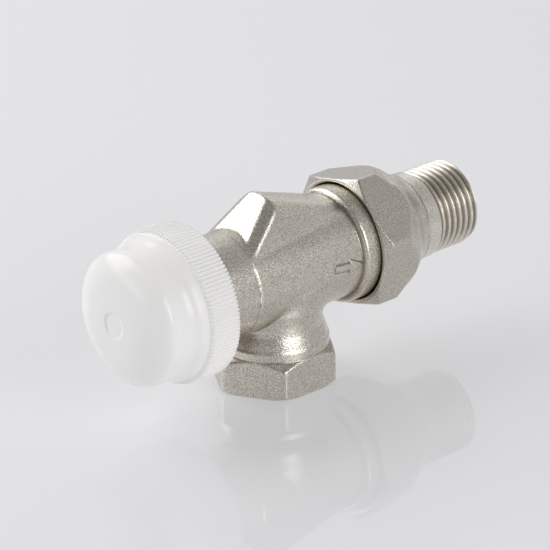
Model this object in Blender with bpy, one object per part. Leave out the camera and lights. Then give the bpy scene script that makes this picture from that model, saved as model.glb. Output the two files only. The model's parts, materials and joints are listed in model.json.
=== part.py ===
"""Reverse-angle thermostatic radiator valve with a screw-on protection cap.

The origin is the centre of the inlet port on the bottom face of the inlet hexagon.
+Z is up, the inlet opens toward -Z.  The main axis of the valve is parallel to Y at
the height MAIN_AXIS_Z: the cap is at -Y and the union with its tailpiece at +Y.
Stations along the main axis are Y values, and every dimension below is in millimetres.
Threads are plain cylinders at their major diameter, except the ridged outlet thread.
"""

import math

import bmesh
import bpy
from mathutils import Vector

MM = 0.001

# Driving dimensions.
MAIN_AXIS_Z = 28.2
GAP = 0.3

# Inlet port.
INLET_HEX_ACROSS_FLATS = 27.5
INLET_BORE_RADIUS = 9.3
INLET_CHANNEL_RADIUS = 6.2

# Barrel of the body.
NECK_RADIUS = 12.1
BARREL_RADIUS = 12.7
NECK_STATION = -14.2
HEAD_THREAD_RADIUS = 15.0
HEAD_FACE_STATION = -36.0
COLLAR_RADIUS = 14.2
COLLAR_STATION = 18.1
UNION_THREAD_RADIUS = 13.22
BODY_END_STATION = 31.0
OUTLET_BORE_RADIUS = 8.0
OUTLET_BORE_STATION = 11.8

# Chambers and seat.
INSERT_BORE_RADIUS = 9.6
CHAMBER_RADIUS = 9.0
SEAT_RADIUS = 5.0
SEAT_LIP_RADIUS = 6.2
SEAT_LIP_STATION = -9.3
SEAT_WALL_STATION = -8.3
SEAT_BACK_STATION = -6.8
INLET_CHAMBER_RADIUS = 7.0
INLET_CHAMBER_END = 8.5

# Hump that carries the water over the seat.
DUCT_HALF_WIDTH = 3.8

# Headwork.
INSERT_INNER_STATION = -15.8
INSERT_FRONT_STATION = -38.6
INSERT_HEX_ACROSS_FLATS = 19.0
GLAND_RADIUS = 6.0
PIN_RADIUS = 1.5
PIN_TIP_STATION = -43.2
STEM_RADIUS = 1.9
STEM_TIP_RADIUS = 1.3
SPRING_WIRE_RADIUS = 0.5
SPRING_RADIUS = 4.0
SPRING_TURNS = 5

# Protection cap.
CAP_RIM_STATION = -25.6
CAP_RIM_RADIUS = 18.8
CAP_RIB_DEPTH = 0.5
CAP_RIBS = 40
CAP_BORE_RADIUS = HEAD_THREAD_RADIUS + GAP

# Union.
NUT_FRONT_STATION = 21.7
NUT_ACROSS_FLATS = 31.0
NUT_CORNER_RADIUS = 17.7
NUT_BACK_STATION = 40.6
NUT_TURN_DEGREES = 14
TAIL_COLLAR_STATION = 33.2
TAIL_NECK_RADIUS = 10.8
TAIL_END_STATION = 57.0
TAIL_BORE_RADIUS = 7.75
OUTLET_THREAD_RADIUS = 10.4775
OUTLET_THREAD_PITCH = 1.814
OUTLET_THREAD_DEPTH = 1.0
OUTLET_THREAD_STATION = 45.6

# Fineness of round pieces.
LARGE_SEGMENTS = 40
SMALL_SEGMENTS = 18

SMOOTH_ANGLE = math.radians(32)

X_AXIS = Vector((1, 0, 0))
Y_AXIS = Vector((0, 1, 0))
Z_AXIS = Vector((0, 0, 1))
ON_MAIN_AXIS = Vector((0, 0, MAIN_AXIS_Z))
AT_ORIGIN = Vector((0, 0, 0))


def clear_scene():
    for obj in list(bpy.data.objects):
        bpy.data.objects.remove(obj, do_unlink=True)


def make_material(name, color, roughness, metallic):
    material = bpy.data.materials.new(name)
    material.use_nodes = True
    shader = material.node_tree.nodes["Principled BSDF"]
    shader.inputs["Base Color"].default_value = (*color, 1.0)
    shader.inputs["Roughness"].default_value = roughness
    shader.inputs["Metallic"].default_value = metallic
    return material


def add_object(name, bm, place, material):
    """Turn a bmesh in millimetres into a smooth-shaded object in metres."""
    bmesh.ops.recalc_face_normals(bm, faces=bm.faces)
    bmesh.ops.scale(bm, vec=(MM, MM, MM), verts=bm.verts)
    mesh = bpy.data.meshes.new(name)
    bm.to_mesh(mesh)
    bm.free()
    mesh.shade_smooth()
    mesh.set_sharp_from_angle(angle=SMOOTH_ANGLE)
    obj = bpy.data.objects.new(name, mesh)
    obj.location = place * MM
    bpy.context.scene.collection.objects.link(obj)
    if material:
        mesh.materials.append(material)
    return obj


def lathe(name, profile, segments=SMALL_SEGMENTS, along=Y_AXIS, place=ON_MAIN_AXIS, material=None):
    """Spin a closed outline of (radius, station) points about the axis `along`."""
    bm = bmesh.new()
    verts = [bm.verts.new(X_AXIS * radius + along * station) for radius, station in profile]
    edges = []
    for i, start in enumerate(verts):
        end = verts[(i + 1) % len(verts)]
        if profile[i][0] or profile[(i + 1) % len(verts)][0]:
            edges.append(bm.edges.new((start, end)))
    bmesh.ops.spin(
        bm, geom=verts + edges, cent=AT_ORIGIN, axis=along, angle=math.tau, steps=segments, use_merge=True
    )
    bmesh.ops.remove_doubles(bm, verts=bm.verts, dist=0.0001)
    return add_object(name, bm, place, material)


def prism(name, outline, across, start, end, place=AT_ORIGIN, material=None):
    """Extrude an outline of 2-D points along X, Y or Z from `start` to `end`."""
    planes = {
        "X": lambda a, b, t: Vector((t, a, b)),
        "Y": lambda a, b, t: Vector((a, t, b)),
        "Z": lambda a, b, t: Vector((a, b, t)),
    }
    at = planes[across]
    bm = bmesh.new()
    face = bm.faces.new([bm.verts.new(at(a, b, start)) for a, b in outline])
    extruded = bmesh.ops.extrude_face_region(bm, geom=[face])
    moved = [item for item in extruded["geom"] if isinstance(item, bmesh.types.BMVert)]
    bmesh.ops.translate(bm, verts=moved, vec=at(0, 0, end - start))
    return add_object(name, bm, place, material)


def hexagon(across_flats, first_corner=30):
    """Corners of a hexagon, the first one `first_corner` degrees round its plane."""
    corner_radius = across_flats / math.sqrt(3)
    turns = [math.radians(first_corner + 60 * k) for k in range(6)]
    return [(corner_radius * math.cos(turn), corner_radius * math.sin(turn)) for turn in turns]


def combine(target, operation, other):
    """Add a boolean modifier and hide the object that it uses."""
    modifier = target.modifiers.new(f"{operation.lower()} {other.name}", "BOOLEAN")
    modifier.operation = operation
    modifier.solver = "EXACT"
    modifier.object = other
    other.hide_render = True
    other.display_type = "WIRE"


def ring(name, mean_radius, station, cord_radius, material, sides=6):
    """An O-ring around the main axis."""
    turns = [math.tau * k / sides for k in range(sides)]
    outline = [
        (mean_radius + cord_radius * math.cos(turn), station + cord_radius * math.sin(turn)) for turn in turns
    ]
    return lathe(name, outline, material=material)


def tube(name, outer, inner, start, end, material, segments=SMALL_SEGMENTS):
    """A plain ring or washer around the main axis."""
    outline = [(inner, start), (outer, start), (outer, end), (inner, end)]
    return lathe(name, outline, segments, material=material)


def valve_body(material):
    """Nickel-plated forging: barrel, inlet, hump, and the water ways inside them."""
    barrel_outline = [
        (0, HEAD_FACE_STATION),
        (HEAD_THREAD_RADIUS - 0.7, HEAD_FACE_STATION),
        (HEAD_THREAD_RADIUS, HEAD_FACE_STATION + 0.7),
        (HEAD_THREAD_RADIUS, -27.8),
        (HEAD_THREAD_RADIUS - 0.7, -27.1),
        (NECK_RADIUS, -27.1),
        (NECK_RADIUS, NECK_STATION),
        (BARREL_RADIUS, NECK_STATION),
        (BARREL_RADIUS, COLLAR_STATION - 0.8),
        (COLLAR_RADIUS - 0.4, COLLAR_STATION),
        (COLLAR_RADIUS, COLLAR_STATION + 0.5),
        (COLLAR_RADIUS, 23.6),
        (UNION_THREAD_RADIUS, 24.0),
        (UNION_THREAD_RADIUS, BODY_END_STATION - 0.7),
        (UNION_THREAD_RADIUS - 0.7, BODY_END_STATION),
        (0, BODY_END_STATION),
    ]
    body = lathe("valve_body", barrel_outline, LARGE_SEGMENTS, place=ON_MAIN_AXIS, material=material)
    combine(body, "UNION", inlet_stub())
    combine(body, "UNION", hump())
    combine(body, "UNION", flow_arrow())
    for cutter in water_ways():
        combine(body, "DIFFERENCE", cutter)
    return body


def inlet_stub():
    """Hexagon and flared neck around the vertical inlet axis."""
    corner_radius = INLET_HEX_ACROSS_FLATS / math.sqrt(3) - 0.15
    flat_radius = INLET_HEX_ACROSS_FLATS / 2
    outline = [
        (0, 0),
        (flat_radius + 0.6, 0),
        (corner_radius, 0.8),
        (corner_radius, 7.9),
        (13.5, 9.4),
        (13.45, 11.2),
        (13.1, 12.6),
        (12.5, 14.0),
        (11.95, 15.6),
        (11.85, 17.0),
        (12.2, 18.4),
        (12.2, 26.0),
        (0, 26.0),
    ]
    stub = lathe("inlet_stub", outline, LARGE_SEGMENTS, along=Z_AXIS, place=AT_ORIGIN)
    block = prism("inlet_hexagon", hexagon(INLET_HEX_ACROSS_FLATS), "Z", -1, 27)
    combine(stub, "INTERSECT", block)
    return stub


def hump():
    """Wedge on top of the barrel, with a flat slanted front and a falling ridge."""
    half = [
        (6.1, -13.2, 39.3),
        (3.3, -5.0, 46.8),
        (1.2, -3.6, 48.1),
        (9.1, -14.4, 36.3),
        (6.2, -4.3, 45.0),
        (2.2, -2.4, 47.9),
        (5.4, 2.0, 45.2),
        (9.1, -2.0, 36.6),
        (2.4, 17.6, 41.2),
        (5.4, 17.6, 40.0),
        (6.6, 17.6, 38.2),
        (9.1, -13.0, 33.0),
        (9.0, 15.0, 33.0),
    ]
    bm = bmesh.new()
    for x, y, z in half:
        bm.verts.new((x, y, z))
        bm.verts.new((-x, y, z))
    hull = bmesh.ops.convex_hull(bm, input=bm.verts)
    leftover = [item for item in hull["geom_interior"] + hull["geom_unused"] if item.is_valid]
    bmesh.ops.delete(bm, geom=leftover, context="VERTS")
    bmesh.ops.dissolve_limit(bm, angle_limit=math.radians(2), verts=bm.verts, edges=bm.edges)
    wedge = add_object("hump", bm, AT_ORIGIN, None)
    rounding = wedge.modifiers.new("rounding", "BEVEL")
    rounding.width = 0.6 * MM
    rounding.segments = 2
    rounding.limit_method = "ANGLE"
    rounding.angle_limit = math.radians(15)
    return wedge


def flow_arrow():
    """Raised arrow on the +X side of the barrel, pointing to the outlet."""
    middle = MAIN_AXIS_Z + 0.9
    outline = [
        (8.0, middle - 0.7),
        (13.2, middle - 0.7),
        (13.2, middle - 1.6),
        (16.8, middle),
        (13.2, middle + 1.6),
        (13.2, middle + 0.7),
        (8.0, middle + 0.7),
    ]
    return prism("flow_arrow", outline, "X", BARREL_RADIUS - 1.2, BARREL_RADIUS + 0.35)


def water_ways():
    """Every hollow of the body, as solids to take away."""
    head_bore = [
        (0, HEAD_FACE_STATION - 1),
        (INSERT_BORE_RADIUS, HEAD_FACE_STATION - 1),
        (INSERT_BORE_RADIUS, INSERT_INNER_STATION - 0.4),
        (CHAMBER_RADIUS, INSERT_INNER_STATION + 0.2),
        (CHAMBER_RADIUS, SEAT_WALL_STATION),
        (SEAT_LIP_RADIUS, SEAT_WALL_STATION),
        (SEAT_LIP_RADIUS, SEAT_LIP_STATION),
        (SEAT_RADIUS, SEAT_LIP_STATION),
        (SEAT_RADIUS, SEAT_BACK_STATION),
        (INLET_CHAMBER_RADIUS, SEAT_BACK_STATION),
        (INLET_CHAMBER_RADIUS, INLET_CHAMBER_END),
        (0, INLET_CHAMBER_END),
    ]
    outlet_bore = [
        (0, OUTLET_BORE_STATION),
        (OUTLET_BORE_RADIUS, OUTLET_BORE_STATION),
        (OUTLET_BORE_RADIUS, BODY_END_STATION + 1),
        (0, BODY_END_STATION + 1),
    ]
    inlet_bore = [
        (0, -1),
        (INLET_BORE_RADIUS + 2, -1),
        (INLET_BORE_RADIUS, 1),
        (INLET_BORE_RADIUS, 13.0),
        (INLET_CHANNEL_RADIUS, 16.0),
        (INLET_CHANNEL_RADIUS, MAIN_AXIS_Z + 0.4),
        (0, MAIN_AXIS_Z + 0.4),
    ]
    over_seat_duct = [
        (-12.8, 31.0),
        (-12.8, 36.2),
        (-5.3, 42.9),
        (-3.5, 43.4),
        (12.0, 39.6),
        (17.4, 36.8),
        (17.4, 31.0),
        (12.2, 31.0),
        (12.2, 35.6),
        (10.3, 37.3),
        (-8.2, 37.3),
        (-9.8, 35.6),
        (-9.8, 31.0),
    ]
    return [
        lathe("head_bore", head_bore, LARGE_SEGMENTS),
        lathe("outlet_bore", outlet_bore, LARGE_SEGMENTS),
        lathe("inlet_bore", inlet_bore, LARGE_SEGMENTS, along=Z_AXIS, place=AT_ORIGIN),
        prism("over_seat_duct", over_seat_duct, "X", -DUCT_HALF_WIDTH, DUCT_HALF_WIDTH),
    ]


def insert_body(material):
    """Headwork housing: guides the stem and holds the spring and the gland."""
    outer = INSERT_BORE_RADIUS - GAP
    groove = outer - 1.6
    outline = [
        (0, HEAD_FACE_STATION - GAP - 0.4),
        (outer, HEAD_FACE_STATION - GAP - 0.4),
        (outer, -19.6),
        (groove, -19.6),
        (groove, -17.4),
        (outer, -17.4),
        (outer, INSERT_INNER_STATION - 0.6),
        (outer - 0.6, INSERT_INNER_STATION),
        (0, INSERT_INNER_STATION),
    ]
    bore = [
        (0, INSERT_FRONT_STATION - 1),
        (GLAND_RADIUS + GAP, INSERT_FRONT_STATION - 1),
        (GLAND_RADIUS + GAP, -34.0),
        (5.6, -34.0),
        (5.6, -18.6),
        (STEM_RADIUS + 1.5, -18.6),
        (STEM_RADIUS + 1.5, INSERT_INNER_STATION + 1),
        (0, INSERT_INNER_STATION + 1),
    ]
    insert = lathe("insert_body", outline, SMALL_SEGMENTS * 2, material=material)
    head = prism(
        "insert_hexagon",
        hexagon(INSERT_HEX_ACROSS_FLATS),
        "Y",
        INSERT_FRONT_STATION,
        HEAD_FACE_STATION - GAP,
        place=ON_MAIN_AXIS,
    )
    combine(insert, "UNION", head)
    combine(insert, "DIFFERENCE", lathe("insert_bore", bore, SMALL_SEGMENTS))
    return insert


def gland(brass, rubber):
    """Gland nut in the front of the insert, with its seals on the pin and outside."""
    bore = PIN_RADIUS + GAP
    groove = PIN_RADIUS + 1.9
    outline = [
        (bore, -39.8),
        (GLAND_RADIUS - 0.5, -39.8),
        (GLAND_RADIUS, -39.3),
        (GLAND_RADIUS, -37.4),
        (GLAND_RADIUS - 1.5, -37.4),
        (GLAND_RADIUS - 1.5, -35.6),
        (GLAND_RADIUS, -35.6),
        (GLAND_RADIUS, -34.3),
        (bore, -34.3),
        (bore, -34.9),
        (groove, -34.9),
        (groove, -36.7),
        (bore, -36.7),
        (bore, -37.3),
        (groove, -37.3),
        (groove, -39.1),
        (bore, -39.1),
    ]
    lathe("gland_nut", outline, material=brass)
    cord = 0.6
    seal_radius = PIN_RADIUS + GAP + cord
    ring("pin_seal_front", seal_radius, -38.2, cord, rubber)
    ring("pin_seal_rear", seal_radius, -35.8, cord, rubber)
    ring("gland_seal", GLAND_RADIUS - 0.6, -36.5, 0.55, rubber)


def stem(steel, brass, rubber):
    """Pin, inner stem and plug: everything that slides when the valve closes."""
    pin_groove = PIN_RADIUS - 0.4
    pin_outline = [
        (0, PIN_TIP_STATION),
        (PIN_RADIUS - 0.4, PIN_TIP_STATION),
        (PIN_RADIUS, PIN_TIP_STATION + 0.4),
        (PIN_RADIUS, -33.9),
        (pin_groove, -33.9),
        (pin_groove, -32.7),
        (PIN_RADIUS, -32.7),
        (PIN_RADIUS, -31.4),
        (0, -31.4),
    ]
    lathe("pin", pin_outline, material=steel)
    tube("pin_circlip", 2.8, pin_groove + GAP, -33.55, -33.05, steel)

    retainer_station = -30.2
    stem_outline = [
        (0, -31.1),
        (STEM_RADIUS + 1.2, -31.1),
        (STEM_RADIUS + 1.2, -30.5),
        (STEM_RADIUS, -30.5),
        (STEM_RADIUS, -15.9),
        (STEM_TIP_RADIUS, -15.9),
        (STEM_TIP_RADIUS, -10.4),
        (0, -10.4),
    ]
    lathe("inner_stem", stem_outline, material=steel)
    retainer = [
        (STEM_RADIUS + GAP, retainer_station),
        (5.1, retainer_station),
        (5.1, retainer_station + 0.6),
        (3.0, retainer_station + 0.6),
        (3.0, retainer_station + 1.8),
        (STEM_RADIUS + GAP, retainer_station + 1.8),
    ]
    lathe("spring_retainer", retainer, material=steel)
    tube("stem_guide", STEM_RADIUS + 1.2, STEM_RADIUS + GAP, -18.4, -16.0, brass)

    hole = STEM_TIP_RADIUS + GAP
    cup = [
        (hole, -15.4),
        (6.7, -15.4),
        (6.7, -13.2),
        (6.0, -13.2),
        (6.0, -14.6),
        (hole, -14.6),
    ]
    lathe("plug_cup", cup, material=brass)
    tube("plug_seal", 5.7, hole, -14.3, -12.6, rubber)
    nut_outline = [(hole, -12.3), (2.8, -12.3), (2.8, -11.1), (2.4, -10.7), (hole, -10.7)]
    lathe("plug_nut", nut_outline, material=brass)


def return_spring(steel):
    """Helical spring that pushes the stem toward the cap and so opens the valve."""
    start = -29.3 + SPRING_WIRE_RADIUS
    end = -18.9 - SPRING_WIRE_RADIUS
    sides = 6
    steps_per_turn = 12
    steps = SPRING_TURNS * steps_per_turn
    bm = bmesh.new()
    section = bmesh.ops.create_circle(bm, cap_ends=False, radius=SPRING_WIRE_RADIUS, segments=sides)
    bmesh.ops.translate(bm, vec=(SPRING_RADIUS, start, 0), verts=section["verts"])
    first = bm.faces.new(section["verts"])
    bmesh.ops.spin(
        bm,
        geom=[first],
        cent=AT_ORIGIN,
        axis=Y_AXIS,
        dvec=Y_AXIS * ((end - start) / steps),
        angle=math.tau * SPRING_TURNS,
        steps=steps,
    )
    add_object("return_spring", bm, ON_MAIN_AXIS, steel)


def protection_cap(plastic, steel):
    """Domed cap that screws onto the head thread and presses the pin in."""
    rib_front = -33.4
    outline = [
        (CAP_BORE_RADIUS + 0.5, CAP_RIM_STATION),
        (CAP_RIM_RADIUS, CAP_RIM_STATION),
        (CAP_RIM_RADIUS, rib_front),
        (18.2, rib_front - 1.2),
        (17.2, -37.0),
        (16.5, -39.6),
        (16.55, -43.0),
        (15.9, -45.0),
        (14.3, -46.5),
        (11.2, -47.6),
        (6.0, -48.2),
        (0, -48.35),
        (0, -46.4),
        (4.3, -46.4),
        (4.3, -44.0),
        (5.8, -44.0),
        (5.8, -46.3),
        (10.6, -45.9),
        (13.6, -43.6),
        (14.3, -40.4),
        (CAP_BORE_RADIUS, -40.0),
        (CAP_BORE_RADIUS, CAP_RIM_STATION - 0.5),
    ]
    cap = lathe("protection_cap", outline, CAP_RIBS * 2, material=plastic)
    valley = (CAP_RIM_RADIUS - CAP_RIB_DEPTH) / CAP_RIM_RADIUS
    for vertex in cap.data.vertices:
        radius = math.hypot(vertex.co.x, vertex.co.z)
        column = round(math.atan2(vertex.co.z, vertex.co.x) / math.tau * CAP_RIBS * 2)
        if abs(radius - CAP_RIM_RADIUS * MM) < 0.01 * MM and column % 2:
            vertex.co.x *= valley
            vertex.co.z *= valley
    disc = [(0, -46.1), (3.5, -46.1), (4.0, -45.7), (4.0, -43.9), (3.6, -43.5), (0, -43.5)]
    lathe("push_disc", disc, material=steel)


def union_nut(material):
    """Hexagon nut with a round shoulder behind it, loose on the tailpiece."""
    thread_radius = UNION_THREAD_RADIUS + 0.35
    neck_radius = TAIL_NECK_RADIUS + 0.35
    cone_end = TAIL_COLLAR_STATION + GAP + thread_radius - neck_radius
    outline = [
        (14.9, NUT_FRONT_STATION),
        (15.6, NUT_FRONT_STATION),
        (NUT_CORNER_RADIUS, NUT_FRONT_STATION + 1.3),
        (NUT_CORNER_RADIUS, 28.8),
        (16.8, 30.0),
        (15.9, 32.2),
        (15.3, 33.8),
        (14.4, 35.0),
        (13.0, 36.9),
        (12.2, 38.2),
        (11.6, NUT_BACK_STATION - 0.7),
        (11.4, NUT_BACK_STATION),
        (neck_radius, NUT_BACK_STATION),
        (neck_radius, cone_end),
        (thread_radius, TAIL_COLLAR_STATION + GAP),
        (thread_radius, 25.0),
        (14.9, 24.2),
    ]
    nut = lathe("union_nut", outline, LARGE_SEGMENTS, material=material)
    block = prism("nut_hexagon", hexagon(NUT_ACROSS_FLATS, NUT_TURN_DEGREES), "Y", 20, 44, place=ON_MAIN_AXIS)
    combine(nut, "INTERSECT", block)
    return nut


def tailpiece(material, rubber):
    """Tube with a collar held by the nut, its face seal, and the ridged outlet thread."""
    root = OUTLET_THREAD_RADIUS - OUTLET_THREAD_DEPTH
    face = BODY_END_STATION + GAP
    collar_radius = UNION_THREAD_RADIUS - 0.2
    outline = [
        (TAIL_BORE_RADIUS, face),
        (9.3, face),
        (9.3, face + 1.3),
        (11.1, face + 1.3),
        (11.1, face),
        (12.4, face),
        (collar_radius, face + 0.7),
        (collar_radius, TAIL_COLLAR_STATION),
        (TAIL_NECK_RADIUS, TAIL_COLLAR_STATION + collar_radius - TAIL_NECK_RADIUS),
        (TAIL_NECK_RADIUS, OUTLET_THREAD_STATION - 0.4),
    ]
    crests = int((TAIL_END_STATION - OUTLET_THREAD_STATION) / OUTLET_THREAD_PITCH)
    for crest in range(crests):
        station = OUTLET_THREAD_STATION + crest * OUTLET_THREAD_PITCH
        outline.append((root, station))
        outline.append((OUTLET_THREAD_RADIUS, station + 0.7))
        outline.append((OUTLET_THREAD_RADIUS, station + 1.1))
    outline.append((root, TAIL_END_STATION - 0.5))
    outline.append((root - 0.4, TAIL_END_STATION))
    outline.append((TAIL_BORE_RADIUS, TAIL_END_STATION))
    lathe("tailpiece", outline, LARGE_SEGMENTS, material=material)
    ring("union_seal", 10.2, face + 0.55, 0.5, rubber)


def build():
    clear_scene()
    nickel = make_material("satin_nickel", (0.62, 0.60, 0.57), 0.38, 1.0)
    brass = make_material("brass", (0.78, 0.60, 0.30), 0.35, 1.0)
    steel = make_material("stainless_steel", (0.66, 0.67, 0.68), 0.28, 1.0)
    rubber = make_material("black_rubber", (0.03, 0.03, 0.03), 0.7, 0.0)
    plastic = make_material("white_plastic", (0.86, 0.86, 0.86), 0.3, 0.0)

    valve_body(nickel)
    insert_body(brass)
    gland(brass, rubber)
    stem(steel, brass, rubber)
    return_spring(steel)
    protection_cap(plastic, steel)
    union_nut(nickel)
    tailpiece(nickel, rubber)
    ring("insert_seal", INSERT_BORE_RADIUS - GAP - 0.6, -18.5, 0.6, rubber)


build()
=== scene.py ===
"""Looks of the reverse-angle radiator valve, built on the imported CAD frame.

The CAD gives every place and every size.  Shapes are worked out in millimetres, with the
main axis parallel to Y, and turned into metres when a mesh is made.  The forged body and
the union nut are distance fields, so that their surfaces flow into each other with real
fillets.  The cap and the tailpiece are turned surfaces with ribs and a helical thread.
"""

import json
import math

import bpy
import numpy as np
from mathutils import Matrix, Vector


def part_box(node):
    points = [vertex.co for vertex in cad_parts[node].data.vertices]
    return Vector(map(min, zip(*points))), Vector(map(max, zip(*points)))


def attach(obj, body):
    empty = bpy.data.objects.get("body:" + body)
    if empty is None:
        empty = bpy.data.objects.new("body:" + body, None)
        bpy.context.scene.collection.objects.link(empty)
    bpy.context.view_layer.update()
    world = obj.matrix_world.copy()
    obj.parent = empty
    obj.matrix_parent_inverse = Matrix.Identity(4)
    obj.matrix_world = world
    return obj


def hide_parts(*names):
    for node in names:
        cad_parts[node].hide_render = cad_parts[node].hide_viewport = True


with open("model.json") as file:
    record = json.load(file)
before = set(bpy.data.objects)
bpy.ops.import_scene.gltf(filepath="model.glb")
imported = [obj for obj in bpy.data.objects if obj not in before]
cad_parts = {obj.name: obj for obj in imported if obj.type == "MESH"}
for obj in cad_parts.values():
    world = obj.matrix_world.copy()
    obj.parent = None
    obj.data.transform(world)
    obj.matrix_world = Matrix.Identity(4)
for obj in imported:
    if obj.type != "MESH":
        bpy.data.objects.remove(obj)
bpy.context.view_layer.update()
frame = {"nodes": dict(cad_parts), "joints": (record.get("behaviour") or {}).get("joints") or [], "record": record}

MM = 0.001


def millimetres(box):
    """Lowest and highest corner of a box in millimetres."""
    return [tuple(value / MM for value in corner) for corner in box]


JOINTS = {joint["name"]: joint for joint in frame["joints"]}
AXIS_Z = JOINTS["cap_turn"]["pos_m"][2] / MM
BODY_LOW, BODY_HIGH = millimetres(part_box("valve_body"))
CAP_LOW, CAP_HIGH = millimetres(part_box("protection_cap"))
NUT_LOW, NUT_HIGH = millimetres(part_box("union_nut"))
TAIL_LOW, TAIL_HIGH = millimetres(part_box("tailpiece"))

# Stations along the main axis.
HEAD_FACE = BODY_LOW[1]
BODY_END = BODY_HIGH[1]
CAP_FRONT = CAP_LOW[1]
CAP_RIM = CAP_HIGH[1]
NUT_FRONT = NUT_LOW[1]
NUT_BACK = NUT_HIGH[1]
TAIL_FRONT = TAIL_LOW[1]
TAIL_END = TAIL_HIGH[1]

# Radii about the main axis.
HEAD_THREAD_RADIUS = 15.0
NECK_RADIUS = 12.5
BARREL_RADIUS = 12.7
NECK_FRONT = -28.0
STEP_STATION = -14.05
# The step and its groove end below the hump.
STEP_TOP = AXIS_Z + 7.0
COLLAR_RADIUS = 14.2
COLLAR_START = 17.6
COLLAR_END = 23.7
UNION_THREAD_RADIUS = 13.22
CAP_RADIUS = CAP_HIGH[0]
TAIL_COLLAR_RADIUS = 13.0
TAIL_COLLAR_END = 33.2
TAIL_NECK_RADIUS = 10.8
TAIL_NECK_START = 35.4
TAIL_BORE_RADIUS = 7.75
OUTLET_THREAD_RADIUS = 10.4775

HEAD_PITCH = 1.5
PIPE_PITCH = 1.814

INLET_ACROSS_FLATS = 27.5
NUT_ACROSS_FLATS = 31.0
NUT_TURN = math.radians(14)

# Color of the painted shade in creases and hollows, tinted bronze.
CREASE_SHADE_COLOR = (0.16, 0.125, 0.085)

# Spacing of the grid that the distance fields are sampled on.
FIELD_STEP = 0.33


# ---------------------------------------------------------------- distance fields


def smooth_max(a, b, reach):
    """The larger of two fields, with their edge rounded over `reach`."""
    overlap = np.maximum(reach - np.abs(a - b), 0.0) / reach
    return np.maximum(a, b) + overlap * overlap * reach * 0.25


def smooth_min(a, b, reach):
    return -smooth_max(-a, -b, reach)


def outline_distance(outline, u, v):
    """Signed distance to a closed outline, negative inside it."""
    nearest = np.full(u.shape, np.inf)
    inside = np.zeros(u.shape, bool)
    for (u0, v0), (u1, v1) in zip(outline, outline[1:] + outline[:1]):
        eu, ev = u1 - u0, v1 - v0
        wu, wv = u - u0, v - v0
        t = np.clip((wu * eu + wv * ev) / (eu * eu + ev * ev), 0.0, 1.0)
        nearest = np.minimum(nearest, (wu - t * eu) ** 2 + (wv - t * ev) ** 2)
        if ev:
            crosses = ((v0 <= v) != (v1 <= v)) & (wu < wv * (eu / ev))
            inside ^= crosses
    return np.where(inside, -1.0, 1.0) * np.sqrt(nearest)


def hexagon_distance(u, v, across_flats, first_corner):
    """Signed distance to the six flats of a hexagon."""
    widest = np.full(u.shape, -np.inf)
    for k in range(3):
        turn = first_corner + math.radians(30 + 60 * k)
        widest = np.maximum(widest, np.abs(u * math.cos(turn) + v * math.sin(turn)))
    return widest - across_flats / 2


def plane_through(a, b, c, inside):
    """Normal and offset of a plane, facing away from the point `inside`."""
    a, b, c, inside = (np.array(point, float) for point in (a, b, c, inside))
    normal = np.cross(b - a, c - a)
    normal /= np.linalg.norm(normal)
    if normal @ (inside - a) > 0:
        normal = -normal
    return normal, normal @ a


def thread_ripple(x, z, station, pitch, depth):
    """Depth of a right-handed helical thread below its crest."""
    turn = np.arctan2(x, z) / math.tau
    phase = np.abs((station / pitch - turn) % 1.0 * 2.0 - 1.0)
    rise = np.clip(phase * 1.25 - 0.125, 0.0, 1.0)
    return depth * rise * rise * (3.0 - 2.0 * rise)


def surface_net(field, low, high, step):
    """Quads on the zero level of a field, with every corner moved onto it."""
    counts = [int(math.ceil((h - l) / step)) + 1 for l, h in zip(low, high)]
    ticks = [l + step * np.arange(n) for l, n in zip(low, counts)]
    values = np.empty(counts)
    for i, x in enumerate(ticks[0]):
        y, z = np.meshgrid(ticks[1], ticks[2], indexing="ij")
        values[i] = field(np.full(y.shape, x), y, z)
    inside = values < 0
    cell_shape = [n - 1 for n in counts]
    total = np.zeros((*cell_shape, 3))
    hits = np.zeros(cell_shape, int)
    crossings = []
    for axis in range(3):
        first = [slice(None)] * 3
        second = [slice(None)] * 3
        first[axis] = slice(0, -1)
        second[axis] = slice(1, None)
        a, b = values[tuple(first)], values[tuple(second)]
        where = np.argwhere(inside[tuple(first)] != inside[tuple(second)])
        fa = a[tuple(where.T)]
        fb = b[tuple(where.T)]
        points = where.astype(float)
        points[:, axis] += fa / (fa - fb)
        others = [k for k in range(3) if k != axis]
        ring = []
        for da, db in ((0, 0), (1, 0), (1, 1), (0, 1)):
            cell = where.copy()
            cell[:, others[0]] -= da
            cell[:, others[1]] -= db
            ring.append(cell)
            np.add.at(total, tuple(cell.T), points)
            np.add.at(hits, tuple(cell.T), 1)
        crossings.append((axis, ring, fa < 0))
    index = np.full(cell_shape, -1)
    used = hits > 0
    index[used] = np.arange(used.sum())
    verts = total[used] / hits[used][:, None] * step + np.array(low)
    faces = []
    for axis, ring, outward in crossings:
        quads = np.stack([index[tuple(cell.T)] for cell in ring], axis=1)
        flip = outward if axis != 1 else ~outward
        quads[~flip] = quads[~flip][:, ::-1]
        faces.append(quads)
    verts = settle(field, verts, step)
    return verts, np.concatenate(faces)


def settle(field, verts, step):
    """Newton steps that bring points onto the zero level."""
    reach = step * 0.25
    for _ in range(3):
        x, y, z = verts.T
        value = field(x, y, z)
        slope = np.stack(
            [
                field(x + reach, y, z) - field(x - reach, y, z),
                field(x, y + reach, z) - field(x, y - reach, z),
                field(x, y, z + reach) - field(x, y, z - reach),
            ],
            axis=1,
        ) / (2 * reach)
        steepness = np.maximum((slope**2).sum(axis=1), 0.2)
        move = slope * (value / steepness)[:, None]
        length = np.linalg.norm(move, axis=1, keepdims=True)
        verts = verts - move * np.minimum(1.0, step * 0.5 / np.maximum(length, 1e-9))
    return verts


# ---------------------------------------------------------------- mesh helpers


# Wide hollows, such as fillets, don't count as creases.
CREASE_START = 0.08


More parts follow.
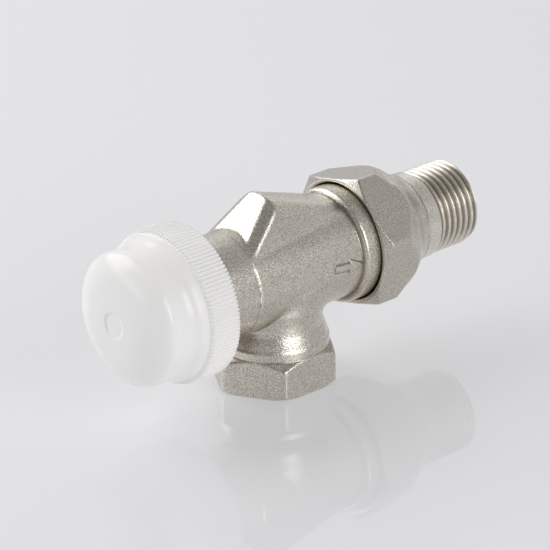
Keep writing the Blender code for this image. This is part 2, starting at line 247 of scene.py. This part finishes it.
def crease_depth(field, verts, reach=0.5):
    """How deep each point lies in a hollow crease, from 0 on flats to 1."""
    x, y, z = verts.T
    around = -6.0 * field(x, y, z)
    for shift in (-reach, reach):
        around += field(x + shift, y, z) + field(x, y + shift, z) + field(x, y, z + shift)
    return np.sqrt(np.clip(-0.5 * around / reach - CREASE_START, 0.0, 1.0))


def make_piece(name, verts, faces, body, material, creases=None):
    """A smooth-shaded piece in metres that rides on a CAD body."""
    mesh = bpy.data.meshes.new(name)
    mesh.from_pydata((np.asarray(verts) * MM).tolist(), [], [list(map(int, face)) for face in faces])
    mesh.validate()
    mesh.shade_smooth()
    mesh.materials.append(material)
    if creases is not None:
        mesh.attributes.new("crease", "FLOAT", "POINT").data.foreach_set("value", creases)
    piece = bpy.data.objects.new(name, mesh)
    bpy.context.scene.collection.objects.link(piece)
    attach(piece, body)
    return piece


def rounded(outline, closed=False, steps=5):
    """Points of an outline whose corners (radius, station, rounding) are rounded."""
    points = []
    count = len(outline)
    for i, (r, s, rounding) in enumerate(outline):
        corner = Vector((r, s))
        if not rounding or (not closed and i in (0, count - 1)):
            points.append((r, s))
            continue
        before = Vector(outline[i - 1][:2]) - corner
        after = Vector(outline[(i + 1) % count][:2]) - corner
        half = before.angle(after) / 2
        back = min(rounding / math.tan(half), before.length * 0.49, after.length * 0.49)
        start = corner + before.normalized() * back
        end = corner + after.normalized() * back
        for k in range(steps + 1):
            t = k / steps
            point = start * (1 - t) ** 2 + corner * (2 * t * (1 - t)) + end * t**2
            points.append((point.x, point.y))
    return points


def flowing(points, steps=4):
    """A smooth curve through all the points."""
    line = [Vector(point) for point in points]
    line = [line[0] * 2 - line[1], *line, line[-1] * 2 - line[-2]]
    result = []
    for a, b, c, d in zip(line, line[1:], line[2:], line[3:]):
        for k in range(steps):
            t = k / steps
            bend = (a * 2 - b * 5 + c * 4 - d) * t**2
            point = b * 2 + (c - a) * t + bend + (b * 3 - a - c * 3 + d) * t**3
            result.append((point.x / 2, point.y / 2))
    result.append(tuple(points[-1]))
    return result


def spaced(points, longest):
    """The same line with extra points, so that no stretch is over `longest`."""
    result = [points[0]]
    for (r0, s0), (r1, s1) in zip(points, points[1:]):
        pieces = max(1, math.ceil(math.hypot(r1 - r0, s1 - s0) / longest))
        for k in range(1, pieces + 1):
            result.append((r0 + (r1 - r0) * k / pieces, s0 + (s1 - s0) * k / pieces))
    return result


def turned(points, columns, radius_at=None, closed=True):
    """Spin points about the main axis.  An open line starts and ends on the axis."""
    turns = np.arange(columns) * math.tau / columns
    verts = []
    faces = []
    rows = []
    for r, s in points:
        if r < 1e-6:
            rows.append([len(verts)])
            verts.append((0.0, s, AXIS_Z))
            continue
        radii = np.full(columns, r) if radius_at is None else radius_at(r, s, turns)
        rows.append(list(range(len(verts), len(verts) + columns)))
        verts.extend(zip(radii * np.sin(turns), np.full(columns, s), AXIS_Z + radii * np.cos(turns)))
    pairs = list(zip(rows, rows[1:]))
    if closed:
        pairs.append((rows[-1], rows[0]))
    for a, b in pairs:
        for k in range(columns):
            n = (k + 1) % columns
            if len(a) == 1:
                faces.append((a[0], b[n], b[k]))
            elif len(b) == 1:
                faces.append((a[k], a[n], b[0]))
            else:
                faces.append((a[k], a[n], b[n], b[k]))
    return verts, faces


# ---------------------------------------------------------------- materials


def new_material(name, **sockets):
    material = bpy.data.materials.new(name)
    material.use_nodes = True
    shader = material.node_tree.nodes["Principled BSDF"]
    for socket, value in sockets.items():
        shader.inputs[socket.replace("_", " ")].default_value = value
    return material, material.node_tree, shader


def noise(tree, coordinates, scale, detail=2.0, roughness=0.5):
    node = tree.nodes.new("ShaderNodeTexNoise")
    node.inputs["Scale"].default_value = scale
    node.inputs["Detail"].default_value = detail
    node.inputs["Roughness"].default_value = roughness
    tree.links.new(coordinates, node.inputs["Vector"])
    return node.outputs["Fac"]


def remap(tree, value, low, high, to_low, to_high):
    node = tree.nodes.new("ShaderNodeMapRange")
    node.inputs["From Min"].default_value = low
    node.inputs["From Max"].default_value = high
    node.inputs["To Min"].default_value = to_low
    node.inputs["To Max"].default_value = to_high
    tree.links.new(value, node.inputs["Value"])
    return node.outputs["Result"]


def blend_colors(tree, factor, first, second):
    node = tree.nodes.new("ShaderNodeMix")
    node.data_type = "RGBA"
    for socket, color in (("A", first), ("B", second)):
        if isinstance(color, tuple):
            node.inputs[socket].default_value = (*color, 1.0)
        else:
            tree.links.new(color, node.inputs[socket])
    tree.links.new(factor, node.inputs["Factor"])
    return node.outputs["Result"]


def bump(tree, height, strength, distance, after=None):
    node = tree.nodes.new("ShaderNodeBump")
    node.inputs["Strength"].default_value = strength
    node.inputs["Distance"].default_value = distance
    tree.links.new(height, node.inputs["Height"])
    if after:
        tree.links.new(after, node.inputs["Normal"])
    return node.outputs["Normal"]


def object_coordinates(tree):
    return tree.nodes.new("ShaderNodeTexCoord").outputs["Object"]


def blasted_nickel(name, grain, grain_depth, roughness, light, dark):
    """Nickel over blasted brass: fine pits, soft blotches, and bronze-tinted painted shade in creases."""
    material, tree, shader = new_material(name, Metallic=1.0)
    place = object_coordinates(tree)
    pits = noise(tree, place, grain, 1.0, 0.4)
    blotches = noise(tree, place, 90.0, 3.0, 0.6)
    color = blend_colors(tree, remap(tree, pits, 0.4, 0.6, 0.0, 1.0), dark, light)
    crease = tree.nodes.new("ShaderNodeAttribute")
    crease.attribute_name = "crease"
    # Painted shade: darker bronze-tinted colour where the crease attribute marks creases and hollows.
    painted_shade = remap(tree, crease.outputs["Fac"], 0.1, 0.8, 0.0, 0.8)
    tree.links.new(blend_colors(tree, painted_shade, color, CREASE_SHADE_COLOR), shader.inputs["Base Color"])
    tree.links.new(
        remap(tree, blotches, 0.3, 0.7, roughness - 0.04, roughness + 0.05), shader.inputs["Roughness"]
    )
    tree.links.new(bump(tree, pits, 0.9, grain_depth), shader.inputs["Normal"])
    return material


def moulded_plastic(name, color, shade, roughness):
    """Semi-gloss moulded plastic with a faint orange-peel skin and a faint painted glow in its own colour."""
    material, tree, shader = new_material(name, Specular_IOR_Level=0.5)
    # Painted light: the plastic gives off a faint glow in its own colour, which brightens its shaded side.
    shader.inputs["Emission Color"].default_value = (*color, 1.0)
    shader.inputs["Emission Strength"].default_value = 0.045
    place = object_coordinates(tree)
    cloud = noise(tree, place, 60.0, 2.0, 0.5)
    skin = noise(tree, place, 900.0, 2.0, 0.5)
    tree.links.new(
        blend_colors(tree, remap(tree, cloud, 0.3, 0.7, 0.0, 1.0), shade, color), shader.inputs["Base Color"]
    )
    tree.links.new(
        remap(tree, skin, 0.3, 0.7, roughness - 0.03, roughness + 0.04), shader.inputs["Roughness"]
    )
    tree.links.new(bump(tree, skin, 0.1, 0.000005), shader.inputs["Normal"])
    return material


def turned_metal(name, color, tint, roughness):
    """Machined metal with fine rings from the lathe, across the main axis."""
    material, tree, shader = new_material(name, Metallic=1.0)
    place = object_coordinates(tree)
    stretch = tree.nodes.new("ShaderNodeMapping")
    stretch.inputs["Scale"].default_value = (120.0, 9000.0, 120.0)
    tree.links.new(place, stretch.inputs["Vector"])
    rings = noise(tree, stretch.outputs["Vector"], 1.0, 2.0, 0.6)
    tree.links.new(
        blend_colors(tree, remap(tree, rings, 0.35, 0.65, 0.0, 1.0), tint, color), shader.inputs["Base Color"]
    )
    tree.links.new(
        remap(tree, rings, 0.3, 0.7, roughness - 0.06, roughness + 0.08), shader.inputs["Roughness"]
    )
    tree.links.new(bump(tree, rings, 0.35, 0.00003), shader.inputs["Normal"])
    return material


def seal_rubber(name):
    material, tree, shader = new_material(name)
    place = object_coordinates(tree)
    dust = noise(tree, place, 700.0, 3.0, 0.6)
    tree.links.new(
        blend_colors(tree, remap(tree, dust, 0.3, 0.8, 0.0, 1.0), (0.012, 0.012, 0.013), (0.04, 0.04, 0.042)),
        shader.inputs["Base Color"],
    )
    tree.links.new(remap(tree, dust, 0.3, 0.7, 0.5, 0.75), shader.inputs["Roughness"])
    tree.links.new(bump(tree, dust, 0.3, 0.00003), shader.inputs["Normal"])
    return material


# ---------------------------------------------------------------- forged body


# Flow arrow on the +X side, as (station, rise from its middle line).
ARROW_HEIGHT = AXIS_Z + 0.8
ARROW_TILT = -0.09
ARROW_RELIEF = 0.45
ARROW_OUTLINE = [(8.8, -0.8), (13.2, -0.8), (13.2, -1.8), (17.2, 0.0), (13.2, 1.8), (13.2, 0.8), (8.8, 0.8)]


def barrel_field(x, y, z):
    """Barrel, head thread, collar ring and union thread, all about the main axis."""
    radius = np.hypot(x, z - AXIS_Z)
    head = outline_distance(
        [
            (-5.0, HEAD_FACE),
            (HEAD_THREAD_RADIUS - 0.7, HEAD_FACE),
            (HEAD_THREAD_RADIUS, HEAD_FACE + 0.7),
            (HEAD_THREAD_RADIUS, -27.8),
            (HEAD_THREAD_RADIUS - 0.7, -27.1),
            (-5.0, -27.1),
        ],
        radius,
        y,
    )
    head = head + thread_ripple(x, z - AXIS_Z, y, HEAD_PITCH, 0.8) * (head > -1.4)
    middle = outline_distance(
        [
            (-5.0, NECK_FRONT),
            (NECK_RADIUS, NECK_FRONT),
            (NECK_RADIUS, STEP_STATION - 0.4),
            (NECK_RADIUS - 0.2, STEP_STATION - 0.25),
            (BARREL_RADIUS, STEP_STATION),
            (BARREL_RADIUS, 20.0),
            (-5.0, 20.0),
        ],
        radius,
        y,
    )
    stepless = outline_distance(
        [(-5.0, NECK_FRONT), (NECK_RADIUS, NECK_FRONT), (BARREL_RADIUS, 0.0), (-5.0, 0.0)], radius, y
    )
    middle = np.where(z > STEP_TOP, np.minimum(middle, stepless), middle)
    collar = outline_distance(
        [
            (-5.0, COLLAR_START),
            (COLLAR_RADIUS - 0.7, COLLAR_START),
            (COLLAR_RADIUS - 0.1, COLLAR_START + 0.5),
            (COLLAR_RADIUS, COLLAR_START + 1.1),
            (COLLAR_RADIUS, COLLAR_END - 0.3),
            (COLLAR_RADIUS - 0.3, COLLAR_END),
            (-5.0, COLLAR_END),
        ],
        radius,
        y,
    )
    union = outline_distance(
        [
            (-5.0, 22.0),
            (UNION_THREAD_RADIUS, 22.0),
            (UNION_THREAD_RADIUS, BODY_END - 0.7),
            (UNION_THREAD_RADIUS - 0.7, BODY_END),
            (-5.0, BODY_END),
        ],
        radius,
        y,
    )
    ripple = thread_ripple(x, z - AXIS_Z, y, PIPE_PITCH, 1.0) * (y > COLLAR_END + 0.5)
    union = union + ripple * (union > -1.6)
    arrow = outline_distance(ARROW_OUTLINE, y, z - ARROW_HEIGHT - ARROW_TILT * (y - 8.0))
    arrow = smooth_max(smooth_max(arrow, radius - BARREL_RADIUS - ARROW_RELIEF, 0.1), 9.0 - x, 0.1)
    body = smooth_min(smooth_min(middle, head, 0.4), collar, 0.2)
    return smooth_min(smooth_min(body, union, 0.3), arrow, 0.1)


def stub_field(x, y, z):
    """Inlet hexagon and its flared neck, about the vertical axis."""
    corner = INLET_ACROSS_FLATS / math.sqrt(3) - 0.1
    flat = INLET_ACROSS_FLATS / 2
    outline = [
        (-5.0, 0.0),
        (flat + 0.5, 0.0),
        (corner, 0.9),
        (corner, 7.7),
        (13.55, 9.3),
        (13.5, 11.2),
        (13.15, 11.9),
        (12.85, 12.9),
        (12.5, 13.9),
        (12.1, 14.9),
        (11.85, 16.0),
        (11.8, 17.2),
        (11.95, 18.6),
        (12.2, 20.0),
        (12.2, 25.0),
        (-5.0, 25.0),
    ]
    stub = outline_distance(outline, np.hypot(x, y), z)
    flats = hexagon_distance(x, y, INLET_ACROSS_FLATS, math.radians(30))
    return smooth_max(stub, flats, 0.45)


# Corners of the hump, on the +X side.
FRONT_FOOT = (6.13, -13.19, 39.33)
FRONT_SHOULDER = (3.28, -5.01, 46.83)
EDGE_FOOT = (9.09, -14.38, 36.31)
CROWN_FRONT = (2.0, -3.5, 48.14)
CROWN_BACK = (2.0, 17.6, 41.2)
SHOULDER_MIDDLE = (5.2, 2.0, 45.2)
INSIDE_HUMP = (0.0, 0.0, 38.0)

# The side walls lean in and run together: (station, half width low down, half width high up).
WALL_FRONT = (-14.0, 9.2, 6.75)
WALL_BACK = (16.0, 8.1, 4.2)
WALL_LOW = 36.0
WALL_HIGH = 46.0


def mirrored(point):
    return (-point[0], point[1], point[2])


FRONT_PLANE = plane_through(FRONT_FOOT, mirrored(FRONT_FOOT), FRONT_SHOULDER, INSIDE_HUMP)
CHAMFER_PLANE = plane_through(FRONT_FOOT, FRONT_SHOULDER, EDGE_FOOT, INSIDE_HUMP)
CROWN_PLANE = plane_through(CROWN_FRONT, mirrored(CROWN_FRONT), CROWN_BACK, INSIDE_HUMP)
SHOULDER_PLANE = plane_through(CROWN_FRONT, CROWN_BACK, SHOULDER_MIDDLE, INSIDE_HUMP)


def hump_field(x, y, z):
    """Hump with a flat slanted front between two bevels, and a falling rounded crown."""
    side = np.abs(x)

    def height_over(plane):
        normal, offset = plane
        return side * normal[0] + y * normal[1] + z * normal[2] - offset

    along = (y - WALL_FRONT[0]) / (WALL_BACK[0] - WALL_FRONT[0])
    rise = (z - WALL_LOW) / (WALL_HIGH - WALL_LOW)
    low = WALL_FRONT[1] + (WALL_BACK[1] - WALL_FRONT[1]) * along
    high = WALL_FRONT[2] + (WALL_BACK[2] - WALL_FRONT[2]) * along
    wall = (side - low - (high - low) * rise) * 0.95
    crown = smooth_max(height_over(CROWN_PLANE), height_over(SHOULDER_PLANE), 0.8)
    top = smooth_max(crown, wall, 2.4)
    top = smooth_max(top, height_over(CHAMFER_PLANE), 0.5)
    hump = smooth_max(top, height_over(FRONT_PLANE), 0.5)
    hump = smooth_max(hump, y - 19.0, 0.5)
    return smooth_max(hump, 31.0 - z, 0.5)


def hollows_field(x, y, z):
    """The inlet bore with its thread, the chambers and the outlet bore."""
    inlet_radius = np.hypot(x, y)
    inlet = outline_distance(
        [(-5.0, -2.0), (12.3, -2.0), (9.9, 0.9), (9.9, 12.6), (6.2, 16.0), (6.2, 28.6), (-5.0, 28.6)],
        inlet_radius,
        z,
    )
    ripple = thread_ripple(x, y, -z, PIPE_PITCH, 0.9) * (z > 0.4) * (z < 12.4)
    inlet = inlet + ripple * (inlet > -1.4)
    radius = np.hypot(x, z - AXIS_Z)
    head = outline_distance(
        [
            (-5.0, HEAD_FACE - 2),
            (9.6, HEAD_FACE - 2),
            (9.6, -16.0),
            (9.0, -15.4),
            (9.0, -8.3),
            (5.0, -8.3),
            (5.0, -6.8),
            (7.0, -6.8),
            (7.0, 8.5),
            (-5.0, 8.5),
        ],
        radius,
        y,
    )
    outlet = outline_distance(
        [(-5.0, 11.8), (8.0, 11.8), (8.0, BODY_END + 2), (-5.0, BODY_END + 2)], radius, y
    )
    return np.minimum(np.minimum(inlet, head), outlet)


def body_field(x, y, z):
    barrel = barrel_field(x, y, z)
    reach = np.clip(1.4 + y * 0.14, 0.4, 2.4)
    solid = smooth_min(barrel, stub_field(x, y, z), reach)
    solid = smooth_min(solid, hump_field(x, y, z), 0.45)
    return smooth_max(solid, -hollows_field(x, y, z), 0.3)


# Painted shade in the pocket where the crown runs into the collar ring, on both sides.
POCKET = (4.8, 16.3, 40.3)
POCKET_REACH = 2.6
POCKET_SHADE_DEPTH = 0.6


def forged_body(material):
    margin = 1.0
    low = [value - margin for value in BODY_LOW]
    high = [value + margin for value in BODY_HIGH]
    verts, faces = surface_net(body_field, low, high, FIELD_STEP)
    # Painted shade: the pocket and the creases are darkened through the crease attribute.
    away = np.linalg.norm(np.abs(verts * (1, 0, 0)) + verts * (0, 1, 1) - POCKET, axis=1)
    pocket_shade = POCKET_SHADE_DEPTH * np.exp(-2.0 * (away / POCKET_REACH) ** 2)
    creases = np.maximum(crease_depth(body_field, verts), pocket_shade)
    body = make_piece("forged_body", verts, faces, "valve", material, creases)
    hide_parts("valve_body")


def nut_field(x, y, z):
    """Union nut: hexagon with turned chamfers, round shoulder and a plain bore sized for the thread."""
    thread_radius = UNION_THREAD_RADIUS + 0.35
    neck_radius = TAIL_NECK_RADIUS + 0.35
    mouth_radius = COLLAR_RADIUS + 0.3
    outline = [
        (14.95, NUT_FRONT),
        (15.55, NUT_FRONT),
        (17.75, NUT_FRONT + 1.25),
        (17.75, 28.6),
        (17.0, 29.9),
        (16.4, 31.0),
        (16.0, 32.0),
        (15.7, 33.0),
        (15.2, 34.0),
        (14.45, 35.0),
        (13.6, 36.0),
        (12.85, 37.0),
        (12.25, 38.0),
        (11.75, 39.0),
        (11.45, 40.0),
        (11.3, NUT_BACK),
        (neck_radius, NUT_BACK),
        (neck_radius, TAIL_NECK_START + 0.5),
        (thread_radius, TAIL_COLLAR_END + 0.3),
        (thread_radius, COLLAR_END + 1.3),
        (mouth_radius, COLLAR_END + 0.5),
        (mouth_radius, NUT_FRONT + 0.45),
    ]
    turned_shape = outline_distance(outline, np.hypot(x, z - AXIS_Z), y)
    flats = hexagon_distance(x, z - AXIS_Z, NUT_ACROSS_FLATS, NUT_TURN)
    return smooth_max(turned_shape, flats, 0.2)


def union_nut(material):
    margin = 1.0
    low = [-NUT_ACROSS_FLATS * 0.6, NUT_FRONT - margin, AXIS_Z - NUT_ACROSS_FLATS * 0.6]
    high = [NUT_ACROSS_FLATS * 0.6, NUT_BACK + margin, AXIS_Z + NUT_ACROSS_FLATS * 0.6]
    verts, faces = surface_net(nut_field, low, high, 0.8 * FIELD_STEP)
    # Painted shade in the nut's creases, through the crease attribute.
    creases = crease_depth(nut_field, verts)
    nut = make_piece("hexagon_nut", verts, faces, "nut", material, creases)
    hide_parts("union_nut")


# ---------------------------------------------------------------- cap


CAP_RIBS = 118
RIB_DEPTH = 0.75
RIB_START = -34.1
RIB_FULL = -33.3


def cap_skin(material):
    """Dome, waist, flare and ribbed ring outside; a plain socket and boss inside."""
    dimple = flowing(
        [
            (0.0, CAP_FRONT + 0.24),
            (1.5, CAP_FRONT + 0.25),
            (2.65, CAP_FRONT + 0.3),
            (3.0, CAP_FRONT + 0.18),
            (3.3, CAP_FRONT + 0.03),
        ],
        3,
    )
    dome = flowing(
        [
            (3.7, CAP_FRONT + 0.01),
            (6.2, CAP_FRONT + 0.1),
            (9.5, CAP_FRONT + 0.38),
            (12.0, CAP_FRONT + 1.05),
            (13.9, CAP_FRONT + 2.05),
            (15.45, CAP_FRONT + 3.3),
            (16.2, CAP_FRONT + 4.3),
            (16.45, CAP_FRONT + 5.3),
            (16.45, CAP_FRONT + 6.6),
            (16.38, CAP_FRONT + 8.0),
            (16.45, CAP_FRONT + 9.5),
            (16.75, CAP_FRONT + 10.7),
            (17.2, CAP_FRONT + 11.7),
            (17.5, CAP_FRONT + 12.5),
            (17.62, CAP_FRONT + 13.2),
            (17.72, RIB_START - 0.2),
        ]
    )
    ring = rounded(
        [
            (18.1, RIB_START, 0),
            (CAP_RADIUS, RIB_FULL, 0.3),
            (CAP_RADIUS, CAP_RIM - 0.35, 0),
            (CAP_RADIUS - 0.35, CAP_RIM, 0),
        ],
        steps=6,
    )
    inside = rounded(
        [
            (15.9, CAP_RIM, 0),
            (15.4, CAP_RIM - 0.6, 0.2),
            (15.4, -39.6, 0.3),
            (14.3, -40.4, 0.6),
            (13.6, -43.6, 1.5),
            (10.6, -45.9, 1.0),
            (5.8, -46.2, 0.3),
            (5.8, -44.0, 0.2),
            (4.3, -44.0, 0.2),
            (4.3, -46.35, 0.2),
            (0.0, -46.35, 0),
        ],
        steps=3,
    )
    points = spaced(dimple + dome + ring + inside, 3.0)
    per_rib = 8

    def radius_at(r, s, turns):
        if r < 17.9 or s < RIB_START:
            return np.full(turns.shape, r)
        wave = 0.5 - 0.5 * np.cos(turns * CAP_RIBS)
        fade = min(1.0, (s - RIB_START) / (RIB_FULL - RIB_START))
        return r - RIB_DEPTH * fade * wave**2.5

    verts, faces = turned(points, CAP_RIBS * per_rib, radius_at, closed=False)
    cap = make_piece("cap_shell", verts, faces, "cap", material)
    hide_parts("protection_cap")


# ---------------------------------------------------------------- tailpiece


# The thread begins where its first groove breaks out of the neck.
THREAD_START = 44.2
THREAD_DEPTH = 1.05
THREAD_ROW = 0.14
GROOVE_EDGE = 0.45
RUN_OUT = math.radians(225)
# The neck is plain in front of this station.
PLAIN_END = THREAD_START - 1.0


def tail_skin(material):
    """Collar, smooth neck and a real helical pipe thread, with a plain bore."""
    outside = rounded(
        [
            (TAIL_BORE_RADIUS, TAIL_FRONT, 0),
            (12.4, TAIL_FRONT, 0.2),
            (TAIL_COLLAR_RADIUS, TAIL_FRONT + 0.7, 0.2),
            (TAIL_COLLAR_RADIUS, TAIL_COLLAR_END, 0.2),
            (TAIL_NECK_RADIUS, TAIL_NECK_START, 0.3),
            (TAIL_NECK_RADIUS, TAIL_END - 0.6, 0.1),
            (OUTLET_THREAD_RADIUS - 0.75, TAIL_END, 0.1),
            (TAIL_BORE_RADIUS + 0.3, TAIL_END, 0.1),
            (TAIL_BORE_RADIUS, TAIL_END - 0.3, 0),
        ],
        steps=3,
    )
    points = []
    for (r0, s0), (r1, s1) in zip(outside, outside[1:]):
        if s0 < PLAIN_END < s1:
            points += spaced([(r0, s0), (r0, PLAIN_END)], 2.0)[:-1]
            points += spaced([(r0, PLAIN_END), (r1, s1)], THREAD_ROW)[:-1]
        else:
            points += spaced([(r0, s0), (r1, s1)], 0.3 if s0 > PLAIN_END else 1.5)[:-1]
    points.append(outside[-1])

    def radius_at(r, s, turns):
        if r < 9.0 or s < PLAIN_END:
            return np.full(turns.shape, r)
        wound = (turns - RUN_OUT) % math.tau + RUN_OUT - math.tau
        edge = THREAD_START + PIPE_PITCH * wound / math.tau
        ripple = thread_ripple(
            np.sin(turns), np.cos(turns), s - THREAD_START - GROOVE_EDGE, PIPE_PITCH, THREAD_DEPTH
        )
        entry = np.clip((s - edge) / GROOVE_EDGE, 0.0, 1.0)
        opening = np.clip((wound - wound.min()) / 0.4 + (s - edge) / PIPE_PITCH - 0.6, 0.0, 1.0)
        return np.minimum(r, r + (OUTLET_THREAD_RADIUS - ripple - r) * entry * opening)

    columns = 180
    verts, faces = turned(points, columns, radius_at, closed=True)
    x, y, z = np.array(verts).T
    radius = np.hypot(x, z - AXIS_Z)
    # Painted shade in the thread grooves, deeper grooves darker, through the crease attribute.
    groove_shade = np.clip((OUTLET_THREAD_RADIUS - 0.1 - radius) / THREAD_DEPTH, 0.0, 1.0) ** 0.7
    groove_shade *= 0.75 * (radius > 9.2) * (y > THREAD_START)
    tail = make_piece("tail_tube", verts, faces, "tail", material, groove_shade)
    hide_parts("tailpiece")


# ---------------------------------------------------------------- studio


def area_light(name, place, aim, size, power):
    data = bpy.data.lights.new(name, "AREA")
    data.shape = "RECTANGLE"
    data.size, data.size_y = size
    data.energy = power
    light = bpy.data.objects.new(name, data)
    light.location = place
    light.rotation_euler = (Vector(aim) - Vector(place)).to_track_quat("-Z", "Y").to_euler()
    bpy.context.scene.collection.objects.link(light)


# Direction of the studio's darkest part, overhead and a little behind the camera.
DARK_SIDE = (0.2, -0.45, 0.87)

# Name, direction, distance, width and height, and power of each soft box.
SOFT_BOXES = [
    ("left_box", (-0.75, -0.36, 0.60), 0.6, (0.52, 0.46), 1.85),
    ("right_box", (0.906, 0.04, 0.40), 0.8, (0.38, 0.52), 2.0),
    ("front_box", (-0.35, -0.92, 0.22), 1.3, (0.8, 0.35), 1.2),
    ("back_box", (-0.62, 0.62, 0.45), 1.5, (1.6, 1.1), 1.3),
]


def studio():
    """Glossy pale floor with a low curved rim, soft boxes and a soft sky round the valve."""
    material, tree, shader = new_material("pale_floor", Roughness=0.45, Coat_Weight=0.8, Coat_Roughness=0.03)
    shader.inputs["Emission Color"].default_value = (1.0, 1.0, 1.02, 1.0)
    shader.inputs["Emission Strength"].default_value = 0.32
    place = object_coordinates(tree)
    cloud = noise(tree, place, 3.0, 2.0, 0.5)
    tree.links.new(
        blend_colors(tree, cloud, (0.45, 0.45, 0.465), (0.47, 0.47, 0.485)), shader.inputs["Base Color"]
    )
    columns = 96
    flat = 1.7
    bend = 0.8
    rings = [0.05, 0.15, 0.4, 0.8, 1.2]
    profile = [(radius, 0.0) for radius in rings]
    for k in range(13):
        turn = math.radians(70) * k / 12
        profile.append((flat + bend * math.sin(turn), bend - bend * math.cos(turn)))
    verts = [(0.0, 0.0, 0.0)]
    faces = []
    for radius, height in profile:
        for k in range(columns):
            turn = math.tau * k / columns
            verts.append((radius * math.cos(turn), radius * math.sin(turn), height))
    for k in range(columns):
        faces.append((0, 1 + k, 1 + (k + 1) % columns))
    for i in range(len(profile) - 1):
        for k in range(columns):
            n = (k + 1) % columns
            a = 1 + i * columns
            faces.append((a + k, a + columns + k, a + columns + n, a + n))
    mesh = bpy.data.meshes.new("sweep")
    mesh.from_pydata(verts, [], faces)
    mesh.shade_smooth()
    mesh.materials.append(material)
    sweep = bpy.data.objects.new("sweep", mesh)
    bpy.context.scene.collection.objects.link(sweep)

    world = bpy.data.worlds.new("studio")
    world.use_nodes = True
    sky = world.node_tree
    direction = sky.nodes.new("ShaderNodeTexCoord").outputs["Generated"]
    toward = sky.nodes.new("ShaderNodeVectorMath")
    toward.operation = "DOT_PRODUCT"
    toward.inputs[1].default_value = Vector(DARK_SIDE).normalized()
    sky.links.new(direction, toward.inputs[0])
    shade = blend_colors(
        sky, remap(sky, toward.outputs["Value"], 0.0, 0.75, 0.0, 1.0), (0.66, 0.66, 0.67), (0.31, 0.31, 0.315)
    )
    sky.links.new(shade, sky.nodes["Background"].inputs["Color"])
    bpy.context.scene.world = world
    bpy.context.scene.view_settings.view_transform = "Standard"

    aim = Vector((0.0, 0.0, 0.03))
    for name, direction, distance, size, power in SOFT_BOXES:
        area_light(name, aim + Vector(direction).normalized() * distance, aim, size, power)


# The camera turns this far round the valve from -Y and looks down this steeply.
CAMERA_TURN = math.radians(49.17)
CAMERA_FALL = math.radians(24.80)
CAMERA_ROLL = math.radians(-0.59)
CAMERA_DISTANCE = 1.164
CAMERA_LENS = 319.95
FILM_WIDTH = 36.0


def camera():
    back = Vector(
        (
            math.sin(CAMERA_TURN) * math.cos(CAMERA_FALL),
            -math.cos(CAMERA_TURN) * math.cos(CAMERA_FALL),
            math.sin(CAMERA_FALL),
        )
    )
    right = Vector((math.cos(CAMERA_TURN), math.sin(CAMERA_TURN), 0.0))
    up = back.cross(right)
    aim = right * 0.000725 + up * 0.023635
    data = bpy.data.cameras.new("camera")
    data.lens = CAMERA_LENS
    data.sensor_width = FILM_WIDTH
    data.clip_start = 0.01
    data.clip_end = 20.0
    eye = bpy.data.objects.new("camera", data)
    turned_right = right * math.cos(CAMERA_ROLL) + up * math.sin(CAMERA_ROLL)
    turned_up = up * math.cos(CAMERA_ROLL) - right * math.sin(CAMERA_ROLL)
    axes = Matrix((turned_right, turned_up, back)).transposed().to_4x4()
    eye.matrix_world = Matrix.Translation(aim + back * CAMERA_DISTANCE) @ axes
    bpy.context.scene.collection.objects.link(eye)
    bpy.context.scene.camera = eye


# ---------------------------------------------------------------- assembly


def keep_node(node, material):
    """Give a CAD node that stays a better material."""
    slots = frame["nodes"][node].data.materials
    slots.clear()
    slots.append(material)


def build():
    body_nickel = blasted_nickel(
        "blasted_nickel", 4200.0, 0.00007, 0.24, (0.81, 0.77, 0.69), (0.46, 0.425, 0.36)
    )
    nut_nickel = blasted_nickel(
        "fine_nickel", 4000.0, 0.00006, 0.22, (0.73, 0.69, 0.62), (0.49, 0.455, 0.40)
    )
    thread_nickel = blasted_nickel(
        "thread_nickel", 4200.0, 0.00005, 0.20, (0.89, 0.85, 0.77), (0.64, 0.60, 0.52)
    )
    plastic = moulded_plastic("cap_plastic", (0.965, 0.955, 0.935), (0.95, 0.94, 0.92), 0.22)
    brass = turned_metal("turned_brass", (0.80, 0.62, 0.32), (0.68, 0.50, 0.24), 0.30)
    steel = turned_metal("turned_steel", (0.68, 0.69, 0.70), (0.55, 0.56, 0.57), 0.26)
    rubber = seal_rubber("seal_rubber")

    forged_body(body_nickel)
    union_nut(nut_nickel)
    cap_skin(plastic)
    tail_skin(thread_nickel)

    for item in frame["record"]["subparts"]:
        kept = {"brass": brass, "stainless_steel": steel, "black_rubber": rubber}.get(item["material_slot"])
        if kept:
            keep_node(item["node"], kept)
    studio()
    camera()


build()
